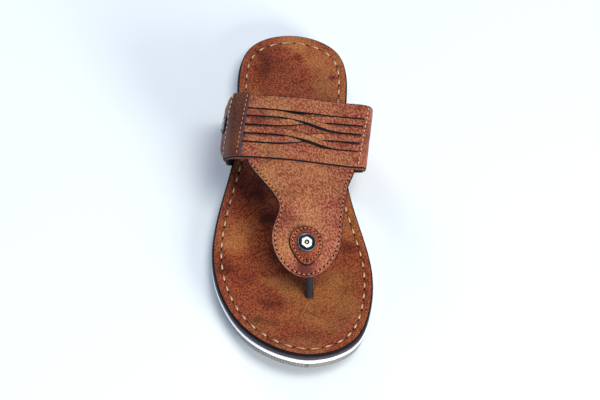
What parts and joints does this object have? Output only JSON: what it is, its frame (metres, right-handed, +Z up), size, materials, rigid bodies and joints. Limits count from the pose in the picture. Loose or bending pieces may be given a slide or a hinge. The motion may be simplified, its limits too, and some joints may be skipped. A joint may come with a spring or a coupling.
{
  "type": "thong slipper",
  "caption": "Right-foot leather thong slipper: wide slit instep band, tongue on a toe post, riveted patch and stud, stitched dished footbed and a layered sole with toe spring.",
  "frame": {"origin": "on the floor, at the middle of the sole's length and width", "axes": "+Z up, +Y towards the heel, -Y towards the toe, +X towards the medial side (the big toe's side)"},
  "size_m": [0.1057, 0.2877, 0.0627],
  "materials": {
    "grey_rubber": "matte moulded grey outsole",
    "white_foam": "smooth white foam midsole",
    "dark_foam": "matte charcoal midsole",
    "footbed_leather": "waxed brown leather with tan wear",
    "strap_leather": "grained brown pull-up leather",
    "tab_leather": "darker ochre-brown leather",
    "rivet_metal": "gunmetal ring with a bright hexagon",
    "post_leather": "dark painted cut edge"
  },
  "bodies": {
    "root": {"outsole": "grey_rubber", "midsole_white": "white_foam", "midsole_dark": "dark_foam", "footbed": "footbed_leather", "upper": "strap_leather", "lateral_tab": "tab_leather", "toe_patch": "strap_leather", "toe_rivet": "rivet_metal", "side_rivet": "rivet_metal", "toe_post": "post_leather"}
  },
  "joints": []
}
